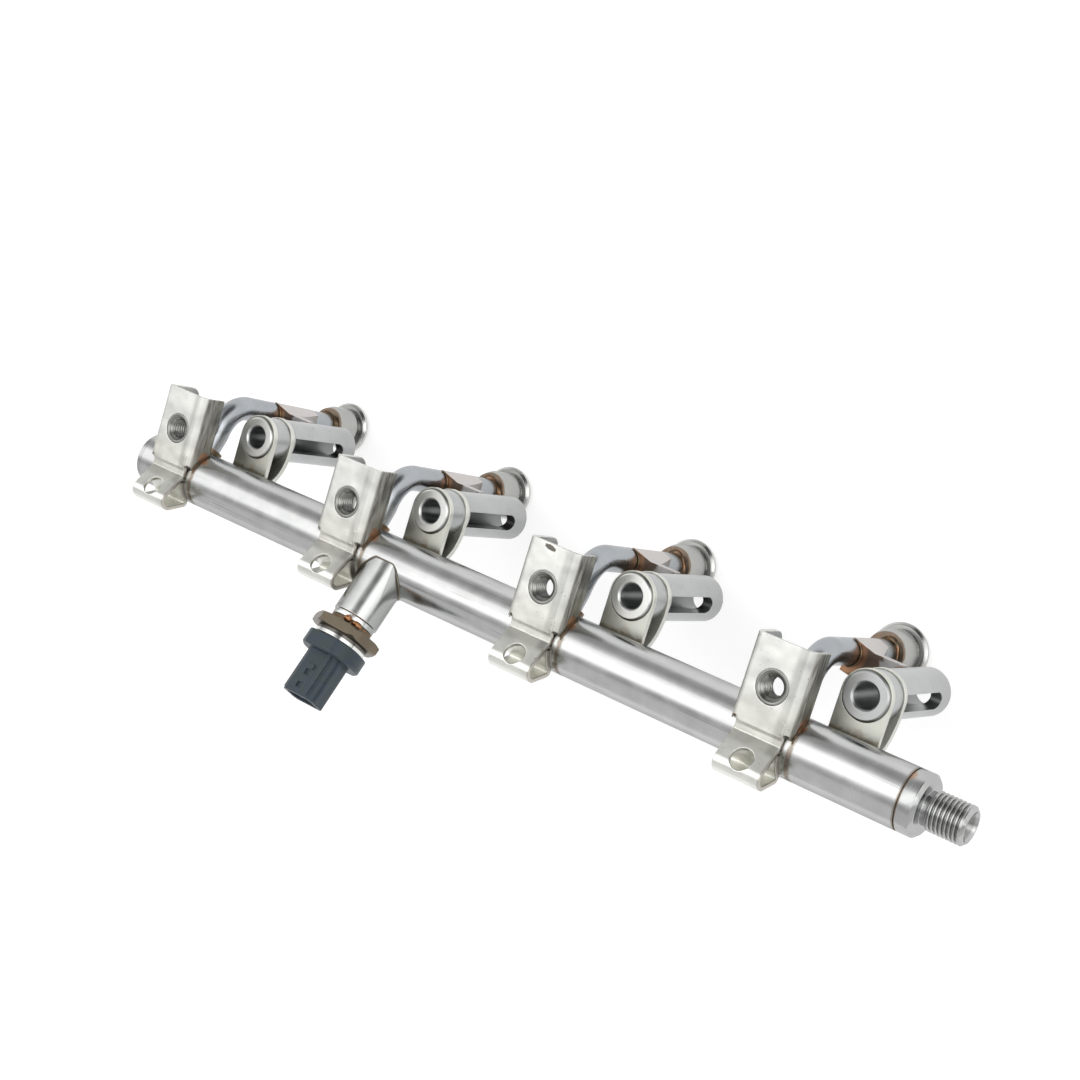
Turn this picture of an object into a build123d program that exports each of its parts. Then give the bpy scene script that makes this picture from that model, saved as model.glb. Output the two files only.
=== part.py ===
# High-pressure fuel rail for a four-cylinder petrol engine with direct injection.
# A thick stainless tube runs along X and stands in front of four long bolt bosses. Each boss
# carries a cup for one injector, fed by a bent pipe from the tube. Stamped brackets on the
# tube's front hold the wiring, and a side port holds the pressure sensor.
# The frame: X along the tube toward the inlet fitting, Z up along the bolts, Y from the tube
# toward the cups. The origin is the middle of the four boss feet, which stand on the engine.
# Lengths are millimetres. All of it is one rigid, brazed assembly.
import os
from math import cos, radians, sin, sqrt

from build123d import *

os.makedirs("parts", exist_ok=True)

# The row of four cylinders
unit_count = 4
pitch = 96.0

# The gap that the braze metal fills, all round each joint
braze_gap = 0.05

# Rail tube: its axis stands above the bosses' tops by its rise
tube_od = 22.0
tube_id = 15.0
tube_y = -23.5
tube_rise = 8.8
left_overhang = 40.4
right_overhang = 28.8

# End plug
plug_head = 3.0
plug_inset = 0.3
plug_spigot = 9.0
plug_chamfer = 0.6

# Inlet fitting, with an M14 x 1.5 thread
collar_length = 6.0
collar_chamfer = 1.3
seam_width = 0.5
fitting_spigot = 10.0
thread_od = 13.8
thread_length = 15.4
thread_chamfer = 1.2
undercut_od = 11.8
undercut_width = 1.6
inlet_bore = 6.4
cone_mouth = 10.6
cone_depth = 3.6

# Mount boss, bored for an M8 bolt
boss_od = 17.5
boss_bore = 9.0
boss_height = 54.2
boss_chamfer = 0.7
boss_edge = 0.8
window_width = 6.3
window_bottom = 8.5
window_top = 39.6

# Boss saddle, stamped from sheet
saddle_sheet = 2.0
saddle_drop = 0.9
saddle_rim = 0.6
saddle_depth = 12.3
saddle_bend = 17.3
saddle_bend_start = -4.0
saddle_web_top = -5.0
saddle_foot = 2.6
saddle_foot_sheet = 0.9

# Harness bracket, stamped from sheet
bracket_sheet = 1.5
bracket_x = -22.5
bracket_width = 23.2
bracket_top = 10.8
bracket_bottom = -19.6
bracket_standoff = 1.0
near_flange = 10.4
far_flange = 18.0
near_bend = 4.6
far_bend = 2.6
flange_corner = 5.0
relief_radius = 1.5

# Loom loop under the bracket: the corners of its middle line, as (y, z) from the point where
# it leaves the tube, and the angles round the tube between which its free end lies
loop_width = 18.0
loop_leave = 0.5
loop_front = (-11.1, 9.0)
loop_under = (-14.2, 4.8)
loop_roll = 3.0
loop_hook = 1.2
loop_face_bend = 1.2
loop_leave_bend = 1.0
loop_tuck_start = 50.0
loop_tuck_end = 12.0
loop_tail = 0.3
loop_step = 2.6
loop_hole = 8.4
loop_hole_place = 9.4

# Bracket nut, threaded M8
nut_y = -5.0
nut_od = 12.2
nut_shoulder = 14.2
nut_length = 8.0
nut_bore = 7.0
nut_mouth = 10.4
nut_mouth_depth = 1.6
nut_edge = 0.5

# Feed pipe: how far behind and below the tube's axis the corners of its centre line lie
pipe_od = 10.0
pipe_id = 5.0
pipe_x = -22.3
pipe_foot_back = 3.5
pipe_foot_drop = 3.4
pipe_elbow_back = 17.5
pipe_elbow_drop = 9.4
pipe_crest_back = 30.9
pipe_crest_drop = 12.6
pipe_bend = 13.5
pipe_seat = 4.0

# Pipe collar
pipe_collar_od = 13.0
pipe_collar_height = 2.6

# Injector cup
cup_x = -28.0
cup_y = 3.7
cup_top = -19.6
cup_neck_od = 15.4
cup_body_od = 17.6
cup_taper = 4.0
cup_length = 16.6
lip_od = 22.6
lip_height = 3.4
lip_round = 1.1
groove_od = 16.2
groove_width = 1.6
groove_slope = 0.6
cup_bore = 12.6
cup_bore_depth = 11.0
cup_mouth = 14.6
cup_mouth_depth = 1.6
cup_feed = 2.4

# Cup link: its front outline in (x, y) from the bolt axis, and its thickness at the boss, at
# the knee of its rear edge and along the pipe
link_top = 22.0
link_outline = [(-23.2, 11.35), (-14.6, 8.9), (-3.2, 8.9), (-3.2, 0.0), (-7.7, -4.3), (-25.2, -1.0)]
link_boss_plate = 4.5
link_knee_x = -13.5
link_knee_plate = 6.0
gusset_length = 26.0
gusset_wall = 0.6

# Sensor port and pressure sensor: the offset is from the bolt axis of its unit, and the other
# distances are from the rail tube's axis
sensor_unit = 2
sensor_offset = -3.0
sensor_rise = 0.8
sensor_tilt = 28.5
port_od = 18.4
port_bore = 12.0
port_end = 27.9
port_step = 2.4
port_step_depth = 0.5
port_drill = 5.0
port_floor = 3.0
port_foot_od = 20.4
port_foot_height = 1.2
hex_flats = 25.6
hex_turn = 43.5
hex_start = 30.4
hex_height = 3.9
hex_neck_od = 17.2
hex_chamfer = 1.4
hex_chamfer_height = 0.8
spigot_length = 8.0
ring_od = 21.2
ring_height = 3.3
ring_edge = 0.5
flange_od = 24.6
flange_height = 5.9
flange_flat = 21.4
flange_edge = 0.7
shell_width = 14.8
shell_depth = 11.2
shell_corner = 2.6
shell_height = 18.3
socket_wall = 1.5
socket_depth = 13.0
rib_width = 1.6
rib_height = 1.0
rib_end = 1.0
front_rib_x = 4.3
side_rib_y = 2.4
latch_x = -0.9
latch_width = 3.4
latch_length = 2.0
latch_height = 0.7
latch_drop = 10.6
pocket_width = 2.6
pocket_length = 2.4
pocket_depth = 0.8
pocket_drops = (8.0, 2.4)
terminal_width = 1.6
terminal_thickness = 0.7
terminal_length = 7.0
terminal_root = 2.0
terminal_tip = 0.18
terminal_pitch = 3.4
terminal_count = 3

# Places that follow from the sizes above
row_half = (unit_count - 1) * pitch / 2
tube_r = tube_od / 2
tube_z = boss_height + tube_rise
seat_r = tube_r + braze_gap
tube_left = -row_half - left_overhang
tube_right = row_half + right_overhang
face_z = tube_z + seat_r + bracket_standoff + bracket_sheet
saddle_front = boss_height - saddle_drop
boss_hole = boss_od + 2 * braze_gap
pipe_hole = pipe_od + 2 * braze_gap
shell_start = hex_start + hex_height + ring_height + 2 * braze_gap
shell_top = flange_height + shell_height
sensor_x = (sensor_unit - 1) * pitch - row_half + sensor_offset
pipe_foot_y = tube_y + pipe_foot_back
pipe_foot_z = tube_z - pipe_foot_drop
pipe_elbow_y = tube_y + pipe_elbow_back
pipe_elbow_z = tube_z - pipe_elbow_drop
pipe_crest_y = tube_y + pipe_crest_back
pipe_crest_z = tube_z - pipe_crest_drop


def bar(diameter, length, plane):
    """A solid bar that starts at the plane's origin and runs along its normal."""
    return plane * Cylinder(diameter / 2, length, align=(Align.CENTER, Align.CENTER, Align.MIN))


def tube_axis_plane(x=0.0):
    """The plane across the rail tube at x, with its normal along the tube."""
    return Plane(origin=(x, tube_y, tube_z), x_dir=(0, 1, 0), z_dir=(1, 0, 0))


def tube_envelope(diameter, width):
    """A bar of the given diameter on the tube's axis, centred on x = 0."""
    return bar(diameter, width, tube_axis_plane(-width / 2))


def turned(points, plane):
    """A solid of revolution about the plane's normal. The points are (radius, height)."""
    outline = make_face(Polyline(*points, close=True))
    body = revolve(Plane.XZ * outline, Axis.Z)
    return plane * body


def pipe_path():
    """The centre line of a feed pipe: out of the tube, over the crest and down to the cup."""
    foot = (pipe_x, pipe_foot_y, pipe_foot_z)
    elbow = (pipe_x, pipe_elbow_y, pipe_elbow_z)
    crest = (pipe_x, pipe_crest_y, pipe_crest_z)
    end = (cup_x, cup_y, cup_top - pipe_seat)
    return FilletPolyline(foot, elbow, crest, end, radius=pipe_bend)


def pipe_foot_plane():
    """The plane at the foot of the pipe, looking out along its first run."""
    outward = Vector(0, pipe_elbow_y - pipe_foot_y, pipe_elbow_z - pipe_foot_z)
    return Plane(origin=(pipe_x, pipe_foot_y, pipe_foot_z), x_dir=(1, 0, 0), z_dir=outward)


def pipe_run_plane():
    """The plane at the crest of the pipe, looking down along its second run."""
    run = Vector(cup_x - pipe_x, cup_y - pipe_crest_y, cup_top - pipe_seat - pipe_crest_z)
    return Plane(origin=(pipe_x, pipe_crest_y, pipe_crest_z), x_dir=(1, 0, 0), z_dir=run)


def pipe_run_length():
    """The straight distance from the crest of the pipe to its end in the cup."""
    drop = pipe_crest_z - cup_top + pipe_seat
    return sqrt((cup_x - pipe_x) ** 2 + (cup_y - pipe_crest_y) ** 2 + drop ** 2)


def make_feed_pipe():
    path = pipe_path()
    start = Plane(origin=path @ 0, z_dir=path % 0)
    body = sweep(start * Circle(pipe_od / 2), path=path)
    bore = sweep(start * Circle(pipe_id / 2), path=path)
    return body - bore - tube_envelope(tube_id + 2 * braze_gap, pitch)


def make_pipe_collar():
    """A short ring round the foot of the pipe, coped to the tube."""
    plane = pipe_foot_plane()
    inside = sqrt((pipe_foot_y - tube_y) ** 2 + (pipe_foot_z - tube_z) ** 2)
    reach = tube_r + pipe_collar_height - inside
    ring = bar(pipe_collar_od, reach, plane) - bar(pipe_hole, reach, plane)
    return ring - tube_envelope(2 * seat_r, pitch)


def make_mount_boss():
    """A turned sleeve with a bolt bore, and a window in its wall on the inlet side."""
    outer = boss_od / 2
    inner = boss_bore / 2
    points = [
        (inner, 0), (outer - boss_edge, 0), (outer, boss_edge), (outer, boss_height - boss_edge),
        (outer - boss_edge, boss_height), (inner + boss_chamfer, boss_height),
        (inner, boss_height - boss_chamfer)]
    sleeve = turned(points, Plane.XY)
    round_centre = window_bottom + window_width / 2
    straight = window_top - round_centre
    slot = Pos(outer / 2, 0, round_centre + straight / 2) * Box(outer, window_width, straight)
    slot_end = Pos(0, 0, round_centre) * Rot(0, 90, 0) * Cylinder(
        window_width / 2, outer, align=(Align.CENTER, Align.CENTER, Align.MIN))
    return sleeve - slot - slot_end


def saddle_outline(inset):
    """The saddle's side outline in (y, z), moved inward by the sheet's thickness or by zero."""
    front = saddle_front - inset
    back = saddle_front - saddle_depth + inset
    radius = saddle_bend - inset
    above = boss_od - saddle_bend_start
    low = (Align.MIN, Align.MIN)
    bend = Pos(saddle_bend_start, back + radius) * Circle(radius)
    straight = Pos(saddle_bend_start, back) * Rectangle(above, 2 * radius, align=low)
    between = Pos(tube_y, back) * Rectangle(boss_od - tube_y, front - back, align=low)
    return (bend + straight) & between


def make_boss_saddle():
    """A stamped channel. Its two walls hold the boss, and its feet are shaped to the tube."""
    half = boss_od / 2 + saddle_rim
    width = 2 * half
    shell = extrude(Plane.YZ * saddle_outline(0), half, both=True)
    cavity = extrude(Plane.YZ * saddle_outline(saddle_sheet), width, both=True)
    cavity = Pos(width - half + saddle_sheet, 0, 0) * cavity
    above_web = Pos(0, saddle_web_top, saddle_front - saddle_depth / 2) * Box(
        2 * width, boss_od * 2, saddle_depth - 2 * saddle_sheet,
        align=(Align.CENTER, Align.MIN, Align.CENTER))
    walls = shell - cavity - above_web
    rounded = Circle(half) + Pos(0, -width) * Rectangle(width, 2 * width)
    walls = walls & extrude(rounded, boss_height, dir=(0, 0, 1))
    front_strip = Pos(0, tube_y + tube_r, saddle_front - saddle_sheet) * Box(
        width, tube_od, saddle_sheet + saddle_foot, align=(Align.CENTER, Align.CENTER, Align.MIN))
    foot = tube_envelope(2 * (seat_r + saddle_foot_sheet), width) & front_strip
    body = walls + foot
    boss = bar(boss_hole, 2 * boss_height, Plane.XY)
    return body - boss - tube_envelope(2 * seat_r, 2 * width)


def bracket_channel():
    """The channel's plan section, in (x, z), with a long far flange and a short near flange."""
    half = bracket_width / 2
    deep = face_z - far_flange
    near = face_z - near_flange

    def section(inset):
        top = face_z - inset
        left = -half + inset
        right = half - inset
        outline = make_face(Polyline(
            (left, deep), (left, top), (right, top), (right, deep), close=True))
        corners = outline.vertices().group_by(Axis.Y)[-1].sort_by(Axis.X)
        outline = fillet(corners[0], far_bend - inset)
        corner = outline.vertices().group_by(Axis.X)[-1].sort_by(Axis.Y)[-1]
        return fillet(corner, near_bend - inset)

    wall = section(0) - section(bracket_sheet)
    height = bracket_top - bracket_bottom
    channel = Pos(0, bracket_bottom, 0) * extrude(Plane.XZ * wall, -height)
    shorten = Pos(half, 0, near) * Box(
        2 * near_bend, 4 * height, 2 * far_flange, align=(Align.CENTER, Align.CENTER, Align.MAX))
    return channel - shorten


def loop_start():
    """Where the loom loop's middle line leaves the tube, in (y, z)."""
    return Vector(tube_y + loop_leave, tube_z + seat_r + bracket_sheet / 2)


def loop_path():
    """The middle line of the loom loop in (y, z), from the bracket's face round to the tube."""
    face_mid = face_z - bracket_sheet / 2
    start = loop_start()
    hug_r = seat_r + bracket_sheet / 2
    half_arc = radians(loop_tuck_start - loop_tuck_end) / 2

    def round_tube(angle, radius):
        turn = radians(angle)
        return Vector(tube_y - radius * sin(turn), tube_z + radius * cos(turn))

    hug_corner = round_tube((loop_tuck_start + loop_tuck_end) / 2, hug_r / cos(half_arc))
    tangent = round_tube(loop_tuck_end, hug_r)
    hug_end = tangent + (tangent - hug_corner).normalized() * loop_tail
    along = round_tube(loop_tuck_start, hug_r)
    outward = (along - hug_corner).normalized()
    low_corner = along + outward * loop_roll
    return FilletPolyline(
        (bracket_bottom + 2 * loop_step, face_mid), (bracket_bottom + loop_step / 2, face_mid),
        start + Vector(loop_step, 0), start, start + Vector(*loop_front),
        start + Vector(*loop_under), low_corner, hug_corner, hug_end,
        radius=[
            loop_face_bend, loop_face_bend, loop_leave_bend, loop_roll, loop_roll, loop_hook,
            hug_r])


def make_harness_bracket():
    """The channel with its loom loop, saddled on the tube and holed for the nut."""
    on_tube = tube_envelope(2 * seat_r, 2 * bracket_width)
    loop = extrude(Plane.YZ * trace(loop_path(), bracket_sheet), loop_width / 2, both=True)
    slope = Vector(*loop_front).normalized()
    hole = loop_start() + slope * loop_hole_place
    across = Vector(0, slope.Y, -slope.X)
    behind = Vector(0, hole.X, hole.Y) - across * bracket_sheet
    loop = loop - bar(loop_hole, 2 * bracket_sheet, Plane(origin=behind, z_dir=across))
    corner_y = bracket_top - flange_corner
    corner_z = face_z - far_flange + flange_corner
    corner = Pos(0, corner_y, corner_z) * Box(
        2 * bracket_width, 2 * flange_corner, 2 * flange_corner,
        align=(Align.CENTER, Align.MIN, Align.MAX))
    corner = corner - Pos(0, corner_y, corner_z) * Rot(0, 90, 0) * Cylinder(
        flange_corner, 2 * bracket_width)
    channel = bracket_channel() - corner - on_tube
    relief = Cylinder(relief_radius, 4 * bracket_sheet)
    for side in (-1, 1):
        place = Pos(side * (loop_width + relief_radius) / 2, bracket_bottom, face_z)
        channel = channel - place * relief
    body = channel + (loop - on_tube)
    body = body - Pos(0, nut_y, face_z) * Cylinder(nut_od / 2 + braze_gap, 4 * bracket_sheet)
    return Pos(bracket_x, 0, 0) * body


def make_bracket_nut():
    """A round threaded insert: its neck fills the hole in the face, its shoulder is behind."""
    bore = nut_bore / 2
    behind = bracket_sheet + braze_gap
    shoulder = nut_shoulder / 2
    points = [
        (bore, -nut_length), (shoulder - nut_edge, -nut_length), (shoulder, nut_edge - nut_length),
        (shoulder, -behind), (nut_od / 2, -behind), (nut_od / 2, 0), (nut_mouth / 2, 0),
        (bore, -nut_mouth_depth)]
    return turned(points, Plane(origin=(bracket_x, nut_y, face_z)))


def make_injector_cup():
    """A turned cup: a tapered neck, a groove and a lip, and a stepped bore open downward."""
    neck = cup_neck_od / 2
    body = cup_body_od / 2
    groove = groove_od / 2
    lip = lip_od / 2
    bore = cup_bore / 2
    lip_top = lip_height - cup_length
    points = [
        (0, 0), (neck, 0), (body, -cup_taper), (body, lip_top + groove_width + groove_slope),
        (groove, lip_top + groove_width), (groove, lip_top), (lip - lip_round, lip_top),
        (lip, lip_top - lip_round), (lip, lip_round - cup_length), (lip - lip_round, -cup_length),
        (cup_mouth / 2, -cup_length), (bore, cup_mouth_depth - cup_length),
        (bore, cup_bore_depth - cup_length), (0, cup_bore_depth - cup_length)]
    cup = turned(points, Plane(origin=(cup_x, cup_y, cup_top)))
    feed = bar(cup_feed, cup_length, Plane(origin=(cup_x, cup_y, cup_top - cup_length)))
    return cup - feed - bar(pipe_hole, pipe_run_length() + braze_gap, pipe_run_plane())


def link_side_profile():
    """The link's outline in (x, z): a plate at the boss and a gusset that runs down the pipe."""
    left = link_outline[-1][0] - pipe_od
    right = link_outline[2][0]
    share = (pipe_crest_z - link_top + gusset_length) / (pipe_crest_z - cup_top + pipe_seat)
    end_x = pipe_x + share * (cup_x - pipe_x) + pipe_hole / 2 + gusset_wall
    return make_face(Polyline(
        (left, link_top), (right, link_top), (right, link_top - link_boss_plate),
        (link_knee_x, link_top - link_knee_plate), (end_x, link_top - gusset_length),
        (left, link_top - gusset_length), close=True))


def make_cup_link():
    """The bridge from boss to pipe: its side is hollowed to the pipe, which it follows down."""
    run = pipe_run_plane().z_dir
    front = Pos(0, 0, link_top) * make_face(Polyline(*link_outline, close=True))
    bridge = extrude(front, gusset_length / -run.Z, dir=run)
    bridge = bridge & extrude(Plane.XZ * link_side_profile(), 2 * boss_od, both=True)
    pipe = bar(pipe_hole, pipe_run_length(), pipe_run_plane())
    return bridge - pipe - bar(boss_hole, boss_height, Plane.XY)


def sensor_plane(distance=0.0):
    """The plane across the sensor's axis at a distance from the tube's axis, facing outward."""
    tilt = radians(sensor_tilt)
    outward = Vector(0, -cos(tilt), sin(tilt))
    aside = Vector(0, sin(tilt), cos(tilt)) * sensor_rise
    origin = Vector(sensor_x, tube_y, tube_z) + aside + outward * distance
    return Plane(origin=origin, x_dir=(1, 0, 0), z_dir=outward)


def make_sensor_port():
    """A branch tube on a coped foot, stepped at its outer end."""
    outer = port_od / 2
    inner = port_bore / 2
    step = port_step_depth
    points = [
        (inner, 0), (outer, 0), (outer, port_end - port_step),
        (outer - step, port_end - port_step + step), (outer - step, port_end - step),
        (outer - 2 * step, port_end), (inner + step, port_end), (inner, port_end - step)]
    sleeve = turned(points, sensor_plane())
    thickness = tube_r + port_floor
    floor = bar(port_bore, thickness, sensor_plane()) - bar(port_drill, thickness, sensor_plane())
    near_rail = Pos(sensor_x, 0, 0) * tube_envelope(2 * (seat_r + port_foot_height), 2 * port_od)
    foot = bar(port_foot_od, 2 * tube_r, sensor_plane()) & near_rail
    foot = foot - bar(port_bore, 2 * tube_r, sensor_plane())
    rail = Pos(sensor_x, 0, 0) * tube_envelope(2 * seat_r, 4 * port_od)
    return sleeve + floor + foot - rail


def make_sensor_body():
    """The hexagon, its neck up to the port, and the spigot that screws into the port."""
    outline = RegularPolygon(hex_flats / 2, 6, major_radius=False, rotation=hex_turn)
    corner = hex_flats / sqrt(3)
    inner = corner - hex_chamfer
    cone = turned([
        (0, 0), (inner, 0), (corner, hex_chamfer_height),
        (corner, hex_height - hex_chamfer_height), (inner, hex_height), (0, hex_height)], Plane.XY)
    hexagon = sensor_plane(hex_start) * (extrude(outline, hex_height) & cone)
    neck_start = port_end + braze_gap
    neck = bar(hex_neck_od, hex_start - neck_start + hex_height / 2, sensor_plane(neck_start))
    root = sensor_plane(hex_start - spigot_length)
    spigot = bar(port_bore - 2 * braze_gap, spigot_length + hex_height / 2, root)
    return hexagon + neck + spigot - bar(port_drill, spigot_length, root)


def make_sensor_ring():
    start = hex_start + hex_height + braze_gap
    points = [
        (0, 0), (ring_od / 2, 0), (ring_od / 2, ring_height - ring_edge),
        (ring_od / 2 - ring_edge, ring_height), (0, ring_height)]
    return turned(points, sensor_plane(start))


def front_patch(x, drop, width, length, height):
    """A block on the connector's front face. Its top is a drop below the socket's mouth."""
    return Pos(x, shell_depth / 2, shell_top - drop) * Box(
        width, 2 * height, length, align=(Align.CENTER, Align.CENTER, Align.MAX))


def make_sensor_connector():
    """The plastic shell: a flange with two flats, a ribbed box and the open socket."""
    disc = Circle(flange_od / 2) & Rectangle(flange_od, flange_flat)
    flange = extrude(disc, flange_height)
    flange = chamfer(flange.faces().sort_by(Axis.Z)[-1].edges(), flange_edge)
    body = flange + extrude(RectangleRounded(shell_width, shell_depth, shell_corner), shell_top)
    rib_top = shell_top - rib_end
    front_rib = Pos(front_rib_x, shell_depth / 2, 0) * Rectangle(rib_width, 2 * rib_height)
    body = body + extrude(front_rib, rib_top)
    for side in (-1, 1):
        place = Pos(side * shell_width / 2, side_rib_y, 0)
        body = body + extrude(place * Rectangle(2 * rib_height, rib_width), rib_top)
    body = body + front_patch(latch_x, latch_drop, latch_width, latch_length, latch_height)
    for drop in pocket_drops:
        body = body - front_patch(latch_x, drop, pocket_width, pocket_length, pocket_depth)
    hollow = RectangleRounded(
        shell_width - 2 * socket_wall, shell_depth - 2 * socket_wall, shell_corner - socket_wall / 2)
    floor = shell_top - socket_depth
    body = body - Pos(0, 0, floor) * extrude(hollow, socket_depth)
    slot = Box(
        terminal_width + 2 * braze_gap, terminal_thickness + 2 * braze_gap,
        terminal_root + braze_gap, align=(Align.CENTER, Align.CENTER, Align.MAX))
    for place in terminal_places():
        body = body - Pos(place, 0, floor) * slot
    return sensor_plane(shell_start) * body


def terminal_places():
    """The contacts' places along X, measured from the sensor's axis."""
    return [(i - (terminal_count - 1) / 2) * terminal_pitch for i in range(terminal_count)]


def make_terminal(place):
    """One contact blade, standing on the socket's floor with its root in the plastic."""
    blade = Pos(place, 0, shell_top - socket_depth - terminal_root) * Box(
        terminal_width, terminal_thickness, terminal_length + terminal_root,
        align=(Align.CENTER, Align.CENTER, Align.MIN))
    tip = blade.edges().group_by(Axis.Z)[-1].filter_by(Axis.X)
    return sensor_plane(shell_start) * chamfer(tip, terminal_tip)


def make_rail_tube():
    """The tube, drilled for each feed pipe and for the sensor port."""
    length = tube_right - tube_left
    body = bar(tube_od, length, tube_axis_plane(tube_left))
    body = body - bar(tube_id, length, tube_axis_plane(tube_left))
    drill = bar(pipe_hole, tube_od, pipe_foot_plane().offset(-pipe_id / 2))
    for x in unit_places():
        body = body - Pos(x, 0, 0) * drill
    return body - bar(port_drill, tube_od, sensor_plane())


def make_end_plug():
    """The plug: a head across the tube's end and a spigot in its bore."""
    head = tube_r - plug_inset
    spigot = tube_id / 2 - braze_gap
    points = [
        (0, 0), (head - plug_chamfer, 0), (head, plug_chamfer), (head, plug_head),
        (spigot, plug_head), (spigot, plug_head + plug_spigot), (0, plug_head + plug_spigot)]
    return turned(points, tube_axis_plane(tube_left - plug_head - braze_gap))


def make_inlet_fitting():
    """The collar, the undercut, the threaded stub and the cone seat round its bore."""
    bore = inlet_bore / 2
    neck = tube_r - plug_inset
    stub = thread_od / 2
    under = undercut_od / 2
    shoulder = seam_width + collar_length
    end = shoulder + thread_length
    points = [
        (bore, -fitting_spigot), (tube_id / 2 - braze_gap, -fitting_spigot),
        (tube_id / 2 - braze_gap, 0), (neck, 0), (neck, seam_width), (tube_r, seam_width),
        (tube_r, shoulder - collar_chamfer), (tube_r - collar_chamfer, shoulder),
        (under, shoulder), (under, shoulder + undercut_width),
        (stub, shoulder + undercut_width + (stub - under)), (stub, end - thread_chamfer),
        (stub - thread_chamfer, end), (cone_mouth / 2, end), (bore, end - cone_depth)]
    return turned(points, tube_axis_plane(tube_right + braze_gap))


def unit_places():
    """Where the four bolt axes stand along X."""
    return [i * pitch - row_half for i in range(unit_count)]


def save(solid, name):
    solid.label = name
    export_step(solid, f"parts/{name}.step")


unit_pieces = {
    "mount_boss": make_mount_boss(),
    "boss_saddle": make_boss_saddle(),
    "harness_bracket": make_harness_bracket(),
    "bracket_nut": make_bracket_nut(),
    "feed_pipe": make_feed_pipe(),
    "pipe_collar": make_pipe_collar(),
    "cup_link": make_cup_link(),
    "injector_cup": make_injector_cup(),
}
for number, x in enumerate(unit_places(), start=1):
    for name, piece in unit_pieces.items():
        save(Pos(x, 0, 0) * piece, f"{name}_{number}")

save(make_rail_tube(), "rail_tube")
save(make_end_plug(), "end_plug")
save(make_inlet_fitting(), "inlet_fitting")
save(make_sensor_port(), "sensor_port")
save(make_sensor_body(), "sensor_body")
save(make_sensor_ring(), "sensor_ring")
save(make_sensor_connector(), "sensor_connector")
for number, place in enumerate(terminal_places(), start=1):
    save(make_terminal(place), f"terminal_{number}")
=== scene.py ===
# %% [markdown]
# # A brazed fuel rail, dressed in Blender
# The solids of this rail come from CAD with their real sizes. Here they get the finish of
# brazed stainless steel, and the few shapes that plain solids leave out: screw threads, the
# fillets of brazing metal and the drops of it that ran. One unit of Blender is one metre, and
# the frame is the CAD frame: X along the tube, Z up along the bolts, Y toward the injectors.

import bpy
import numpy as np
from mathutils import Matrix, Vector


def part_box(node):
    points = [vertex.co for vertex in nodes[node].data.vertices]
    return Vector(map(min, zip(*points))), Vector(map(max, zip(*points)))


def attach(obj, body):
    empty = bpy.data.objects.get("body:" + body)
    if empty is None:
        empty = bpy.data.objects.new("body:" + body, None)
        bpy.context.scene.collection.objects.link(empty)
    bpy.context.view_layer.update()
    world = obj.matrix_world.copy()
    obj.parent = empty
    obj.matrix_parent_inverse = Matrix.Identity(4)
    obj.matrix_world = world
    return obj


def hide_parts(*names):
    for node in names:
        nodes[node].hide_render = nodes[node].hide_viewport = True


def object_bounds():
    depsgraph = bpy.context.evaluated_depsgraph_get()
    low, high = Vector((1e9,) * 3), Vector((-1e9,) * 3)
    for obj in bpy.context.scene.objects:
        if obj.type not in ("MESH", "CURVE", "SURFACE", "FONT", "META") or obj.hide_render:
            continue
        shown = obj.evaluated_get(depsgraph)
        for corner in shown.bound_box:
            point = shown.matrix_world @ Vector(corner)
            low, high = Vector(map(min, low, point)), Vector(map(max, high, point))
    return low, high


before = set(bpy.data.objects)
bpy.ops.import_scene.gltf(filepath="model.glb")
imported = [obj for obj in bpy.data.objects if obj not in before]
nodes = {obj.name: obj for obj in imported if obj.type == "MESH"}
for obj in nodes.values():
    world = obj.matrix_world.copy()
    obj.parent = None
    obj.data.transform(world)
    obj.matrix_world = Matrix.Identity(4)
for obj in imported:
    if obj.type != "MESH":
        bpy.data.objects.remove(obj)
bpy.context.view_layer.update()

# %% [markdown]
# ## Measures taken over from the solids
# Stains and added shapes follow the joints, so they need to know where those lie. All of these
# are millimetres in the CAD frame. The sensor port leans, so it gets three directions of its
# own: out along its axis, aside toward the top of the tube, and ahead along the tube.

# %% Measures
MM = 0.001
unit_pitch = 96.0
bolt_places = [place * unit_pitch for place in (-1.5, -0.5, 0.5, 1.5)]
tube_y, tube_z, tube_radius = -23.5, 63.0, 11.0
seam_x = 172.8
bracket_x, nut_y = -22.5, -5.0
pipe_x, pipe_y = -24.5, 6.0
link_front = 22.1
port_tilt = np.radians(28.5)
port_shift, port_radius, port_bore = 0.8, 9.2, 6.0
out = np.array([0.0, -np.cos(port_tilt), np.sin(port_tilt)])
aside = np.array([0.0, np.sin(port_tilt), np.cos(port_tilt)])
ahead = np.array([1.0, 0.0, 0.0])
port_centre = np.array([-51.0, tube_y, tube_z]) + port_shift * aside
print("bolts at", bolt_places, "port axis", np.round(out, 3))

# %% [markdown]
# ## The camera
# A photograph fixes where the viewer stood. The eye is kept as a place and three directions,
# found by matching edges of the solids with the picture. A lens of about 60 mm keeps the far
# end of the rail a little smaller than the near end, as the picture shows.

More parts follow.
